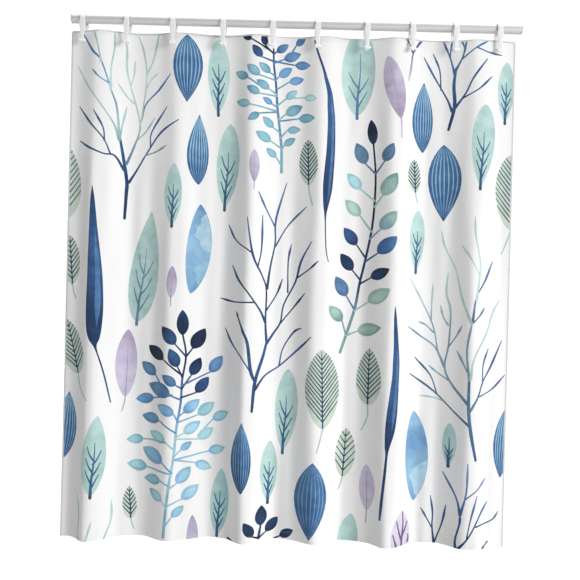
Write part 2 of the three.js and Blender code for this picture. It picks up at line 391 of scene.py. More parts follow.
def curve_through(points, steps):
    """A smooth curve through the points, which may hold a width as a third value."""
    points = np.asarray(points, float)
    if len(points) < 3:
        share = np.linspace(0, 1, steps + 1)[:, None]
        return points[0] * (1 - share) + points[-1] * share
    padded = np.vstack([2 * points[0] - points[1], points, 2 * points[-1] - points[-2]])
    share = np.linspace(0, 1, steps, endpoint=False)[:, None]
    runs = []
    for a, b, c, d in zip(padded, padded[1:], padded[2:], padded[3:]):
        bend = (2 * a - 5 * b + 4 * c - d) * share**2 + (3 * b - a - 3 * c + d) * share**3
        runs.append((2 * b + (c - a) * share + bend) / 2)
    return np.vstack([*runs, points[-1:]])


def ribbon(points, paint, steps=4):
    """A brush stroke with round ends through (x, z, width) points."""
    line = curve_through(points, steps)
    centre = line[:, :2]
    run = np.gradient(centre, axis=0)
    run /= np.maximum(np.linalg.norm(run, axis=1, keepdims=True), 1e-9)
    ahead = run * np.maximum(line[:, 2:], 0.5) / 2
    side = np.stack([ahead[:, 1], -ahead[:, 0]], -1)
    turns = np.radians([[45], [0], [-45]])
    start_cap = centre[0] - np.cos(turns) * ahead[0] - np.sin(turns) * side[0]
    end_cap = centre[-1] + np.cos(turns) * ahead[-1] + np.sin(turns) * side[-1]
    return shape(np.vstack([centre + side, end_cap, (centre - side)[::-1], start_cap]), paint)


def tapered(points, *widths):
    """Adds widths to the points, with the given ones spread evenly from the first to the last."""
    stops = np.linspace(0, len(points) - 1, len(widths))
    return [(x, z, np.interp(i, stops, widths)) for i, (x, z) in enumerate(points)]


VEIN_SLOPE = 1.25  # how far a herringbone vein rises for its reach to the side


class Blade:
    """A leaf's outline between its tip and its base, with a width to each side of the midrib."""

    def __init__(self, tip, base, left, right, belly, fullness=1.5):
        self.tip, self.base = np.array(tip, float), np.array(base, float)
        self.length = math.dist(tip, base)
        self.left, self.right = left, right
        self.powers = belly * fullness, (1 - belly) * fullness
        self.belly = belly

    def reach(self, along, across):
        """Distance from the midrib of a place from -1, on the left edge, to 1, on the right one."""
        start, end = self.powers
        peak = self.belly**start * (1 - self.belly) ** end
        swell = np.clip(along, 0, 1) ** start * np.clip(1 - along, 0, 1) ** end / peak
        return swell * across * np.where(np.asarray(across) < 0, self.left, self.right)

    def at(self, along, across):
        """The point at a share of the way from tip to base, and so far across."""
        along, across = np.broadcast_arrays(np.asarray(along, float), np.asarray(across, float))
        run = (self.base - self.tip) / self.length
        side = self.reach(along, across)
        return self.tip + along[..., None] * run * self.length + side[..., None] * [run[1], -run[0]]

    def body(self, paint, points=16):
        along = (1 - np.cos(np.pi * np.arange(points) / points)) / 2
        right, left = self.at(along, 1), self.at(1 - along, -1)
        return shape(np.vstack([right, left]), paint)

    def stroke(self, route, widths, paint):
        """A brush stroke through (along, across) places on the leaf."""
        return ribbon(tapered([tuple(self.at(*stop)) for stop in route], *widths), paint, 3)


# Places across a ribbed leaf and along it, as Blade.reach takes them.
RIBS = (-0.74, -0.5, -0.24, 0.03, 0.3, 0.56, 0.79)
RIB_STATIONS = (0.05, 0.2, 0.4, 0.6, 0.8, 0.96)


def ribbed_leaf(tip, base, left, right, belly, body=("blue", "indigo"), rib="sky"):
    """A dark leaf with light ribs from its base to its tip."""
    blade = Blade(tip, base, left, right, belly, fullness=1.9)
    paint = wash(tip, base, rib, rib, body[0])
    ribs = [
        blade.stroke([(along, across) for along in RIB_STATIONS], (0.8, 3.4, 4.0, 3.6, 1.0), paint)
        for across in RIBS
    ]
    return [blade.body(wash(tip, base, *body)), *ribs]


def veined_leaf(tip, base, left, right, belly, body=("mint", "shade"), veins=3, vein=("blue", "vein")):
    """A pale leaf with a branching vein that rises from its base."""
    blade = Blade(tip, base, left, right, belly, fullness=1.45)
    paint = wash(tip, base, *vein)
    strokes = []
    if veins:
        strokes.append(blade.stroke([(0.34, 0), (0.58, 0.05), (0.8, -0.04), (1.03, 0)], (2.5, 6, 11), paint))
    for i in range(veins):
        start = 0.86 - 0.15 * i
        for side in (-1, 1):
            lower = start + 0.05 * (side > 0)
            route = [(lower, 0), (lower - 0.07, side * 0.32), (lower - 0.17, side * 0.6)]
            strokes.append(blade.stroke(route, (7.5, 5, 3), paint))
    return [blade.body(two_sided(tip, base, *body)), *strokes]


def herringbone_leaf(tip, base, left, right, belly, pairs, stem=(), body=("sage", "sage"), vein="navy"):
    """A pale leaf with a straight midrib and close slanting veins on both sides."""
    blade = Blade(tip, base, left, right, belly, fullness=1.4)
    paint = wash(tip, base, vein)
    strokes = [blade.stroke([(0.02, 0), (0.5, 0), (1, 0)], (2, 4, 5), paint)]
    for i in range(pairs):
        low = 0.1 + 0.84 * (i + 0.5) / pairs
        for edge in (-0.97, 0.97):
            stations = np.linspace(low, 0, 60)
            gone = (low - stations) * blade.length / VEIN_SLOPE
            inside = gone < np.abs(blade.reach(stations, edge))
            route = [(low, 0), (stations[np.argmin(inside)], edge)]
            strokes.append(blade.stroke(route, (4.4, 3.0), paint))
    if stem:
        strokes.append(ribbon(tapered([base, *stem], 6, 4.5), wash(base, stem[-1], "shade")))
    return [blade.body(two_sided(tip, base, *body)), *strokes]


def points_in(text):
    """Points from words such as 12,34, or 12,34,5 with a width."""
    return [tuple(map(float, word.split(","))) for word in text.split() if "," in word]


def words_in(text):
    return [word for word in text.split() if "," not in word]


def bloom(blade, top, foot, inner, paint):
    """A lighter patch with a ragged edge, where the wet ink ran back from the right edge."""
    along = np.linspace(top, foot, 22)
    ragged = inner + 0.16 * np.sin(along * 31 + 1) + 0.09 * np.sin(along * 67)
    ragged = 0.9 + (ragged - 0.9) * np.sin(np.linspace(0, np.pi, len(along))) ** 0.6
    return shape(np.vstack([blade.at(along[::-1], 0.93), blade.at(along, ragged)]), paint)


def forked_leaf(outline, veins):
    """A pale leaf with a line of points for each of its few bold veins."""
    tip, base = outline[:2]
    routes = [points_in(line) for line in veins.strip().splitlines()]
    strokes = [ribbon(tapered(points, 8, 6, 4), wash(tip, base, "plum")) for points in routes]
    return [Blade(*outline).body(wash(tip, base, "blush", "lilac")), *strokes]


def wash_leaf(tip, base, left, right, belly, body, stem=(), patches=(), rib="mauve"):
    """A leaf of plain wash, with a midrib where it has a stem, and with blooms of lighter ink."""
    blade = Blade(tip, base, left, right, belly, fullness=1.45)
    parts = [blade.body(wash(tip, base, *body))]
    for top, foot, inner, ink in patches:
        parts.append(bloom(blade, top, foot, inner, wash(tip, base, ink)))
    if stem:
        midrib = [tuple(blade.at(0.14, 0)), tuple(blade.at(0.55, 0.05)), base, *stem]
        parts.append(ribbon(tapered(midrib, 1.5, 4, 3), wash(base, stem[-1], rib)))
    return parts


def feather(band_start, band_end, text):
    """A long dark blade with a lighter band down its right side."""
    points = np.array(points_in(text))
    ends = points[0, :2], points[-1, :2]
    band = points[band_start:band_end].copy()
    band[:, 0] += 0.2 * band[:, 2]
    band[:, 2] *= 0.3
    band[[0, -1], 2] = 0.5
    return [
        ribbon(points, wash(*ends, "navy", "indigo", "indigo", "navy", "navy", "indigo"), 5),
        ribbon(band, wash(*ends, "indigo", "blue", "blue", "indigo", "navy"), 5),
    ]


POOL_LIGHTER = 1.22
LEAF_PLUMPNESS = 0.29  # half the width of a sprig's leaf, as a share of its length


def pool(tip, base, half, paint):
    """The lighter middle of a small leaf, inside its darker rim."""
    tip, base = np.array(tip, float), np.array(base, float)
    inner_tip, inner_base = tip + 0.2 * (base - tip), base - 0.16 * (base - tip)
    inner = Blade(inner_tip, inner_base, 0.5 * half, 0.68 * half, belly=0.5)
    return inner.body(paint, points=8)


def sprig(inks, text):
    """A stem on the first line, and then leaves: inks from tip to base, tip, base, end of the stalk."""
    stem_line, *leaves = text.strip().splitlines()
    stem = points_in(stem_line)
    parts = [ribbon(tapered(stem, 6, 8.5, 11), wash(stem[0], stem[-1], *inks.split()))]
    for line in leaves:
        leaf_inks = words_in(line)
        tip, base, stalk = points_in(line)
        half = LEAF_PLUMPNESS * math.dist(tip, base)
        leaf = Blade(tip, base, half, half, belly=0.57, fullness=1.6)
        parts += [
            ribbon(tapered([base, stalk], 5, 7), wash(base, stalk, leaf_inks[-1])),
            leaf.body(wash(tip, base, *leaf_inks), points=10),
            pool(tip, base, half, wash(tip, base, *leaf_inks, lighter=POOL_LIGHTER)),
        ]
    return parts


GIRTH = {"trunk": (9, 12.5, 11, 8), "branch": (10, 7, 5.5, 5.5, 8.5, 3.5), "twig": (6, 4.5, 5, 8, 3)}


def tree(top, foot, inks, limbs):
    """Bare branches painted by height, each a line of its size and its points from root to tip."""
    paint = wash((0, top), (0, foot), *inks.split())
    return [
        ribbon(tapered(curve_through(points_in(line), 4), *GIRTH[words_in(line)[0]]), paint, 1)
        for line in limbs.strip().splitlines()
    ]


# ---- Layout of the print, in millimetres on the cloth ----

RIBBED = [  # tip, base, width to the left and right of the midrib, and where it is widest
    ((411, 6), (415, 246), 49, 55, 0.44),
    ((460, 285), (461, 536), 41, 34, 0.58),
    ((1255, 150), (1256, 402), 42, 35, 0.56),
    ((1332, 370), (1337, 645), 55, 59, 0.45),
    ((638, 1373), (640, 1625), 39, 34, 0.56, ("blue", "navy"), "azure"),
    ((890, 1512), (882, 1787), 58, 56, 0.47, ("blue", "indigo"), "azure"),
    ((22, 1283), (4, 1522), 40, 42, 0.54),
    ((1570, 1310), (1556, 1553), 36, 38, 0.5),
]
VEINED = [  # the same, the inks to the left and right of the midrib, pairs of veins and their inks
    ((520, 10), (525, 277), 37, 41, 0.47, ("mint", "mint")),
    ((377, 463), (374, 682), 32, 31, 0.5),
    ((570, 315), (555, 614), 40, 43, 0.47),
    ((1030, -60), (1020, 274), 64, 56, 0.55, ("mint", "shade"), 2, ("steel", "blue")),
    ((296, 633), (250, 1029), 48, 57, 0.62, ("shade", "shade"), 3, ("steel", "slate")),
    ((1470, 230), (1455, 522), 41, 43, 0.42),
    ((1546, 75), (1542, 287), 31, 30, 0.46),
    ((1247, 607), (1242, 824), 30, 28, 0.44),
    ((797, 1187), (783, 1482), 38, 43, 0.46),
    ((135, 1360), (118, 1639), 45, 36, 0.56),
    ((567, 1550), (555, 1787), 34, 35, 0.52, ("mint", "aqua")),
    ((738, 1445), (734, 1662), 31, 29, 0.48),
    ((1375, 1363), (1373, 1514), 21, 23, 0.47, ("shade", "mint"), 2),
    ((1036, 1702), (1024, 1880), 43, 29, 0.5, ("mint", "shade"), 0),
]
HERRINGBONE = [  # the same, pairs of veins and the points of the stem
    ((847, 365), (853, 530), 32, 33, 0.54, 9, [(857, 560), (868, 600)]),
    ((1225, 427), (1233, 547), 26, 22, 0.52, 7, [(1237, 565), (1243, 582)]),
    ((913, 1112), (923, 1394), 61, 62, 0.5, 14, [(915, 1430), (903, 1475)]),
    ((1010, 1395), (1000, 1572), 34, 39, 0.52, 6, [(992, 1600), (983, 1617)]),
    ((1084, 1103), (1082, 1307), 42, 41, 0.58, 10, [(1082, 1350), (1063, 1400)]),
    ((237, 1622), (245, 1740), 26, 23, 0.57, 6, [(250, 1758), (256, 1777)]),
    ((-12, 395), (-8, 668), 50, 58, 0.6, 10),
    ((10, 726), (24, 902), 36, 33, 0.52, 8, [(30, 930), (38, 950)]),
    ((6, 1025), (57, 1217), 46, 40, 0.58, 9, [(63, 1250), (75, 1280), (96, 1308)]),
    ((1568, 403), (1571, 672), 57, 50, 0.48, 12, [(1562, 705), (1541, 758)]),
    ((1592, 762), (1592, 872), 25, 20, 0.5, 6),
]
WASHED = [  # the same, inks from tip to base, the stem, blooms as in bloom() and the midrib's ink
    ((470, 605), (443, 925), 30, 55, 0.5, ("azure", "sky", "azure"), (),
     [(0.1, 0.52, -0.1, "pale"), (0.62, 0.9, 0.2, "sky")]),
    ((1248, 1325), (1255, 1649), 33, 54, 0.5, ("sky", "azure", "sky", "azure"), (),
     [(0.56, 0.96, -0.3, "pale")]),
    ((658, 410), (661, 525), 17, 19, 0.45, ("lilac", "mauve"), [(660, 550)]),
    ((1122, 65), (1172, 287), 33, 37, 0.48, ("lilac", "mauve"), [(1175, 320), (1176, 355)]),
    ((380, 828), (377, 942), 18, 19, 0.52, ("mauve", "lilac"), [(378, 970)]),
    ((221, 1058), (215, 1302), 36, 37, 0.5, ("mauve", "lilac", "lilac"), [(211, 1330), (205, 1352)]),
    ((1083, 1520), (1087, 1682), 25, 27, 0.5, ("lilac", "lilac"), [(1085, 1728)]),
    ((468, 1715), (470, 1875), 19, 20, 0.5, ("mauve", "lilac")),
    ((1070, 288), (1080, 377), 17, 18, 0.55, ("inky", "inky", "navy"), [(1081, 390)], (), "inky"),
    ((419, 983), (421, 1072), 20, 21, 0.55, ("navy", "inky"), [(423, 1085)], (), "inky"),
]
PLUM_LEAF = ((1213, 1675), (1207, 1870), 42, 33, 0.5)
PLUM_VEINS = """
    1210,1800 1213,1760 1216,1720 1213,1679
    1210,1780 1200,1750 1190,1708
    1213,1765 1225,1740 1232,1718
    1190,1800 1184,1780 1176,1755
    1235,1790 1238,1778 1237,1765
"""

FEATHERS = [  # which points carry the light band, and the middle of the blade with its width
    (4, 11, """
    862,16,5 875,60,7 895,115,9 905,150,12 919,200,18 924,250,24 928,300,27 928,400,31
    922,500,35 919,550,32 915,600,19 914,640,6 916,700,4 920,760,4 929,800,3
    """),
    (2, 7, """
    95,553,2 97,600,15 102,700,29 108,800,44 112,880,53 113,980,59
    113,1050,53 116,1090,37 122,1122,8 140,1180,5 155,1240,5 171,1317,4
    """),
    (2, 8, """
    1166,952,2 1168,1000,11 1173,1100,19 1174,1150,24 1173,1200,25 1168,1270,32 1163,1330,37
    1157,1390,34 1149,1445,18 1147,1475,9 1143,1530,9 1137,1600,9 1132,1660,9 1129,1704,6
    """),
]

SPRIGS = [  # the stem's inks from the top down, the stem, and the leaves
    ("navy indigo teal sea", """
    717,46 719,100 728,170 735,250 745,330 753,400 755,482
    inky inky 605,0 640,18 717,60
    inky navy 680,-5 688,38 717,62
    navy indigo 643,38 677,80 718,90
    azure indigo 770,27 728,55 717,64
    blue blue 830,0 797,30 774,70
    azure blue 815,60 755,80 718,96
    azure blue 850,103 795,100 720,88
    sea teal 667,100 707,132 722,140
    sea sea 625,107 670,145 726,156
    azure azure 785,110 738,142 726,156
    azure azure 828,150 775,160 733,187
    sea teal 584,130 630,155 668,180
    teal sea 660,162 705,190 731,205
    teal sea 626,185 672,210 733,212
    aqua sea 805,190 765,220 735,245
    mint aqua 875,222 830,215 775,218
    azure azure 683,222 717,242 735,252
    sea sea 590,235 640,250 735,266
    teal sea 825,245 765,275 740,296
    sea teal 870,290 812,290 742,300
    sea teal 632,305 672,280 737,268
    sea sea 685,290 722,325 745,340
    sea sea 820,328 772,332 748,360
    sea sea 662,345 715,375 752,396
    teal sea 802,360 762,385 753,405
    sea sea 700,400 735,430 754,458
    """),
    ("inky inky inky navy navy green green", """
    1080,375 1090,485 1088,600 1080,690 1062,790 1045,870 1030,960 1005,1045 980,1122
    slate slate 1020,370 1055,445 1088,480
    aqua aqua 990,480 1040,535 1088,578
    moss moss 985,575 1040,630 1081,688
    indigo navy 983,675 1030,735 1062,780
    inky navy 973,768 1018,827 1047,862
    slate blue 957,850 998,920 1028,968
    moss green 935,955 985,1010 1000,1062
    slate slate 1148,375 1118,440 1090,482
    green moss 1163,480 1115,560 1088,600
    moss steel 1165,615 1110,680 1076,714
    blue indigo 1167,705 1103,765 1062,795
    inky navy 1143,820 1082,853 1045,875
    moss moss 1147,890 1075,940 1028,972
    green moss 1120,1028 1040,1045 1000,1062
    """),
    ("inky navy blue sky aqua sea sea", """
    421,1068 434,1145 423,1230 420,1310 408,1400 400,1510 387,1600 378,1690 371,1787
    inky indigo 347,1043 397,1105 433,1147
    inky inky 297,1113 355,1160 423,1215
    indigo navy 377,1120 407,1185 423,1222
    slate blue 273,1172 325,1218 345,1246
    slate blue 352,1215 402,1250 421,1262
    slate blue 300,1250 383,1285 420,1302
    azure blue 253,1308 320,1300 390,1284
    sky azure 335,1323 398,1352 412,1380
    blue teal 278,1365 345,1378 405,1418
    aqua aqua 308,1420 370,1450 403,1480
    aqua sea 223,1455 285,1450 370,1452
    sea azure 283,1480 360,1525 396,1560
    aqua sea 227,1540 300,1550 392,1562
    sea sea 290,1590 355,1590 387,1606
    sea aqua 312,1625 362,1660 379,1684
    inky inky 497,1048 455,1120 433,1150
    inky navy 483,1152 453,1215 422,1262
    azure blue 560,1145 517,1205 424,1250
    indigo navy 513,1222 470,1278 420,1294
    sky azure 483,1302 430,1348 412,1362
    aqua sea 535,1313 478,1358 411,1382
    aqua sky 587,1345 530,1375 480,1432
    sky aqua 487,1380 432,1422 405,1434
    aqua aqua 533,1405 480,1445 404,1440
    azure sky 460,1452 423,1480 401,1502
    aqua sky 577,1475 517,1490 401,1514
    aqua sky 530,1552 473,1528 402,1514
    sea sky 458,1540 412,1598 388,1614
    aqua sky 487,1607 430,1655 386,1674
    sea sky 438,1678 398,1715 376,1748
    """),
    ("navy navy", """
    712,1742 705,1787
    inky navy 713,1672 712,1744 711,1750
    navy inky 652,1725 685,1778 706,1788
    navy inky 772,1722 730,1770 706,1788
    navy inky 828,1762 780,1790 760,1800
    navy inky 594,1790 622,1830 640,1840
    """),
]
TREES = [  # the heights that the inks run between, the inks from the top down, and the limbs
    (147, 660, "blue indigo indigo navy navy", """
    trunk 200,662 204,570 205,530 192,445 179,372
    branch 212,532 240,485 280,415 325,352 388,310
    branch 195,490 165,442 130,438 80,418 40,392
    twig 252,308 266,252 310,205 355,147
    twig 286,404 290,350 345,262
    twig 152,438 128,385 80,330 35,270
    twig 131,392 125,345 90,283
    """),
    (0, 400, "slate blue azure steel shade steel", """
    branch 179,380 168,270 150,215 113,110 80,72 35,-2
    twig 137,185 105,165 82,140
    """),
    (0, 480, "shade shade mint shade shade green slate", """
    branch 178,385 160,330 120,270 65,195 25,125
    branch 203,466 225,410 247,340 236,275 213,195 198,130 197,60 185,-2
    branch 147,208 146,130 156,60 155,-2
    branch 112,112 106,84 96,40 83,-2
    twig 180,380 187,330 200,265
    twig 212,185 222,150 225,100
    twig 224,250 200,228 170,185
    twig 238,378 268,350 300,300
    twig 250,315 265,195 266,130 254,60 235,10
    twig 268,145 292,90 310,-2
    twig 264,200 284,165 310,140
    twig 268,434 310,420 345,400
    """),
    (520, 1340, "blue indigo navy indigo navy", """
    trunk 672,1335 676,1270 683,1218 706,1140 717,1090
    trunk 681,1232 664,1190 651,1095 632,1050
    branch 635,1056 618,1012 609,985
    branch 717,1096 711,1015 712,905 694,850 662,780 640,650
    branch 714,900 724,820 739,735 740,650 775,520
    branch 716,1098 740,1060 764,1020 775,955 815,873 833,800 868,730
    branch 711,1020 690,975 650,918 614,872 590,820
    branch 681,1258 714,1210 765,1176 830,1115 873,1068
    twig 667,1200 630,1145 592,1095 568,1045
    twig 660,775 602,732 572,675
    twig 680,826 692,760 693,640
    twig 738,680 705,618 677,558
    twig 740,748 785,670 848,605
    twig 788,912 787,800 797,740
    twig 822,858 862,828 893,798
    twig 762,1026 808,968 848,915
    twig 712,980 748,920 768,865
    twig 668,950 600,950 548,938
    twig 763,1177 775,1115 812,1055 840,1038
    """),
    (770, 1490, "blue slate indigo slate indigo", """
    trunk 1459,1485 1441,1400 1430,1310 1430,1190
    branch 1437,1002 1449,915 1480,855 1507,785
    branch 1433,1366 1395,1330 1320,1254 1228,1190
    branch 1433,1316 1462,1265 1480,1210 1508,1160 1550,1065
    twig 1440,1002 1463,978 1480,950
    twig 1331,1264 1305,1195 1247,1132
    twig 1479,1216 1480,1150 1499,1093
    twig 1468,1262 1515,1238 1565,1187
    """),
    (820, 1310, "shade shade steel steel steel slate", """
    branch 1430,1205 1421,1100 1436,1000
    branch 1431,1296 1372,1215 1354,1160 1365,1085 1369,965 1354,900 1358,830
    branch 1353,1164 1320,1095 1265,1055 1218,1022
    twig 1430,1192 1412,1150 1392,1105
    twig 1365,1092 1390,1050 1405,1015
    twig 1362,1014 1345,985 1335,945
    twig 1330,1112 1310,1015 1260,915 1220,850
    twig 1313,1042 1285,1016 1258,1005
    twig 1304,1002 1305,930 1308,870
    twig 1368,1212 1330,1186 1300,1162
    """),
    (630, 1200, "shade mint shade shade", """
    branch 1434,1008 1404,920 1382,815 1345,735 1332,680
    branch 1450,922 1462,800 1443,700 1439,630
    branch 1435,1200 1445,1130 1490,1040 1513,965 1537,923
    twig 1458,832 1430,780 1400,730
    twig 1350,1286 1320,1276 1270,1270
    """),
    (1490, 1810, "azure blue indigo navy", """
    branch 1400,1810 1398,1770 1410,1712 1411,1675
    branch 1411,1680 1398,1620 1357,1540
    branch 1411,1680 1429,1600 1432,1497
    branch 1401,1806 1443,1752 1480,1680 1507,1635
    branch 1335,1812 1326,1740 1327,1690 1317,1630
    twig 1427,1622 1470,1588 1500,1550
    twig 1466,1720 1527,1700 1552,1672
    twig 1434,1762 1445,1700 1468,1612
    twig 1336,1795 1358,1725 1369,1657
    twig 1325,1745 1305,1710 1284,1675
    twig 1512,1775 1490,1802
    """),
    (0, 315, "blue indigo navy", """
    trunk 1346,317 1364,235 1360,160 1366,100
    branch 1365,106 1388,58 1400,-2
    branch 1356,252 1337,205 1292,130 1252,62
    branch 1362,122 1345,60 1318,-2
    branch 1366,240 1400,190 1425,135 1472,68
    twig 1394,40 1390,20 1380,-2
    twig 1387,66 1430,30 1478,2
    twig 1436,29 1480,45 1525,52
    twig 1345,62 1347,30 1352,-2
    twig 1316,174 1310,105 1285,47
    twig 1392,206 1445,175 1490,130
    """),
    (1640, 1810, "mint shade shade", """
    twig 80,1822 74,1765 76,1700 67,1640
    twig 95,1824 110,1780 122,1733
    twig 158,1806 180,1735 180,1668
    """),
    (0, 155, "plum plum mauve lilac", """
    branch 1242,3 1218,38 1209,62 1204,110 1196,152
    twig 1187,3 1202,30 1210,55
    """),
]


def whole_print():
    """Every printed shape, with those on top last."""
    parts = [ink for row in FEATHERS for ink in feather(*row)]
    parts += [ink for row in TREES for ink in tree(*row)]
    parts += [ink for row in SPRIGS for ink in sprig(*row)]
    parts += [ink for row in RIBBED for ink in ribbed_leaf(*row)]
    parts += [ink for row in VEINED for ink in veined_leaf(*row)]
    parts += [ink for row in HERRINGBONE for ink in herringbone_leaf(*row)]
    parts += forked_leaf(PLUM_LEAF, PLUM_VEINS)
    parts += [ink for row in WASHED for ink in wash_leaf(*row)]
    return parts


# ---- The cloth, its hems and its stitching ----

EDGE_STEP = 9.0
SIDE_STEPS, DROP_STEPS = 176, 76
TOP_CORNER, HEM_CORNER = 11.0, 4.0
# Width of the grey strips of painted shade along the top and both sides.
EDGE_SHADE_WIDTH = 6.0
HOLE_RADIUS = 6.2
PRINT_WIDTH = 1574  # the layout's own width, drawn out to the cloth's
SAME_POINT = 0.02  # outlines that pass this close to each other meet
INSIDE_OUTLINES = 1  # the kind of triangulation that leaves out what lies outside the cloth


def cloth_outline():
    """The cloth's edge with its rounded corners, starting at the top left."""
    corners = [
        (TOP_CORNER, TOP_CORNER, TOP_CORNER, 180),
        (CLOTH_WIDTH - TOP_CORNER, TOP_CORNER, TOP_CORNER, 270),
        (CLOTH_WIDTH - HEM_CORNER, CLOTH_DROP - HEM_CORNER, HEM_CORNER, 0),
        (HEM_CORNER, CLOTH_DROP - HEM_CORNER, HEM_CORNER, 90),
    ]
    outline = []
    for x, z, radius, turn in corners:
        for angle in np.radians(turn + np.linspace(0, 90, 6)):
            outline.append((x + radius * np.cos(angle), z + radius * np.sin(angle)))
    sides = zip(outline, outline[1:] + outline[:1])
    return np.vstack([drawn_out(start, end) for start, end in sides])


def rectangle(left, top, right, bottom):
    return [(left, top), (right, top), (right, bottom), (left, bottom)]


def drawn_out(start, end):
    """Points from start up to end, short of the end."""
    count = max(1, round(math.dist(start, end) / EDGE_STEP))
    share = np.arange(count)[:, None] / count
    return np.array(start) * (1 - share) + np.array(end) * share


def eyelet_hole(hook):
    angles = np.linspace(0, 2 * np.pi, 24, endpoint=False)
    ring = np.stack([np.cos(angles), np.sin(angles)], -1) * HOLE_RADIUS
    return shape(ring + [hook, EYELET_BELOW], None)


def triangulated(shapes):
    """Cuts the cloth into triangles along every outline, each with the number of its topmost shape."""
    grid_x = np.linspace(0, CLOTH_WIDTH, SIDE_STEPS + 1)[1:-1]
    grid_z = np.linspace(0, CLOTH_DROP, DROP_STEPS + 1)[1:-1]
    grid = np.stack(np.meshgrid(grid_x, grid_z), -1).reshape(-1, 2)
    low, high = shapes[0].outline.min(axis=0), shapes[0].outline.max(axis=0)
    grid = grid[np.all((grid > low) & (grid < high), axis=1)]
    points = np.vstack([grid, *(each.outline for each in shapes)])
    points[:, 1] *= -1
    loops, start = [], len(grid)
    for each in shapes:
        x, z = each.outline.T
        forward = np.sum(x * np.roll(z, -1) - z * np.roll(x, -1)) < 0
        loop = list(range(start, start + len(x)))
        loops.append(loop if forward else loop[::-1])
        start += len(x)
    vectors = [Vector(point) for point in points]
    found = delaunay_2d_cdt(vectors, [], loops, INSIDE_OUTLINES, SAME_POINT)
    flat = np.array(found[0]) * [1, -1]
    pairs = [
        (face, max(owners))
        for face, owners in zip(found[2], found[5])
        if 0 in owners and shapes[max(owners)].paint is not None
    ]
    faces = np.array([face for face, _ in pairs])
    used, faces = np.unique(faces, return_inverse=True)
    return flat[used], faces.reshape(-1, 3), np.array([owner for _, owner in pairs])


def rim_edges(faces):
    """Directed edges that only one triangle has."""
    edges = np.vstack([faces[:, [0, 1]], faces[:, [1, 2]], faces[:, [2, 0]]])
    held = {(a, b) for a, b in edges.tolist()}
    return np.array(sorted((a, b) for a, b in held if (b, a) not in held))


def layered(name, flat, faces, near, far):
    """A closed cloth layer between two distances in front of the cloth's middle."""
    x, z = flat.T
    count = len(flat)
    rim = rim_edges(faces)
    points = np.vstack([on_cloth(x, z, near), on_cloth(x, z, far)])
    quads = np.stack([rim[:, 1], rim[:, 0], rim[:, 0] + count, rim[:, 1] + count], -1)
    mesh = mesh_of(name, points, [*faces, *(faces[:, ::-1] + count), *quads])
    normal = cloth_normal(x, z)
    corner_normals = np.vstack([normal[faces.ravel()], -normal[faces[:, ::-1].ravel()]])
    rim_run = points[rim[:, 1]] - points[rim[:, 0]]
    rim_normal = np.cross(rim_run, normal[rim[:, 0]])
    rim_normal /= np.linalg.norm(rim_normal, axis=1, keepdims=True)
    mesh.normals_split_custom_set(np.vstack([corner_normals, np.repeat(rim_normal, 4, axis=0)]).tolist())
    place = np.zeros((2 * count, 3))
    place[:, :2] = np.vstack([flat, flat]) * MM
    mesh.attributes.new("flat_place", "FLOAT_VECTOR", "POINT").data.foreach_set("vector", place.ravel())
    return mesh, len(quads)


def painted_edge_shade():
    """Grey strips of painted shade along the top and both sides, where the turned edge is shaded."""
    inner = CLOTH_WIDTH - EDGE_SHADE_WIDTH
    strips = [
        (0, 0, CLOTH_WIDTH, EDGE_SHADE_WIDTH),
        (0, 0, EDGE_SHADE_WIDTH, CLOTH_DROP),
        (inner, 0, CLOTH_WIDTH, CLOTH_DROP),
    ]
    return [shape(rectangle(*strip), plain(EDGE_PAINTED_SHADE)) for strip in strips]


def curtain_cloth():
    stretch = [CLOTH_WIDTH / PRINT_WIDTH, 1]
    cloth = shape(cloth_outline(), plain(CLOTH_WHITE))
    inks = whole_print()
    for ink in inks:
        ink.outline = ink.outline * stretch
    shapes = [cloth, *inks, *painted_edge_shade(), *(eyelet_hole(hook) for hook in HOOK_X)]
    flat, faces, owners = triangulated(shapes)
    half = CLOTH_THICKNESS / 2
    mesh, quads = layered("printed_curtain", flat, faces, half, -half)
    front = np.empty((faces.size, 4))
    corner_place, corner_owner = flat[faces.ravel()], np.repeat(owners, 3)
    for owner in np.unique(owners):
        mine = corner_owner == owner
        front[mine] = shapes[owner].paint(corner_place[mine] / stretch)
    faded = front * THROUGH + np.array(CLOTH_WHITE) * (1 - THROUGH)
    back = faded.reshape(-1, 3, 4)[:, ::-1].reshape(-1, 4)
    colours = np.vstack([front, back, np.tile(CLOTH_WHITE, (4 * quads, 1))])
    mesh.color_attributes.new("ink", "FLOAT_COLOR", "CORNER").data.foreach_set("color", colours.ravel())
    mesh.materials.append(FINISHES.cloth)
    return as_object("printed_curtain", mesh)


def hem(name, x_range, z_range, finish, holes=()):
    """A strip sewn behind the cloth, with eyelet holes where it has any."""
    (left, right), (top, bottom) = x_range, z_range
    corners = rectangle(left, top, right, bottom)
    outline = np.vstack([drawn_out(a, b) for a, b in zip(corners, corners[1:] + corners[:1])])
    shapes = [shape(outline, plain(CLOTH_WHITE)), *(eyelet_hole(hook) for hook in holes)]
    flat, faces, _ = triangulated(shapes)
    mesh, _ = layered(name, flat, faces, -HEM_NEAR, -HEM_NEAR - HEM_THICKNESS)
    mesh.materials.append(finish)
    return as_object(name, mesh)


STITCH_LENGTH, STITCH_PITCH, THREAD_RADIUS = 2.5, 3.3, 0.17


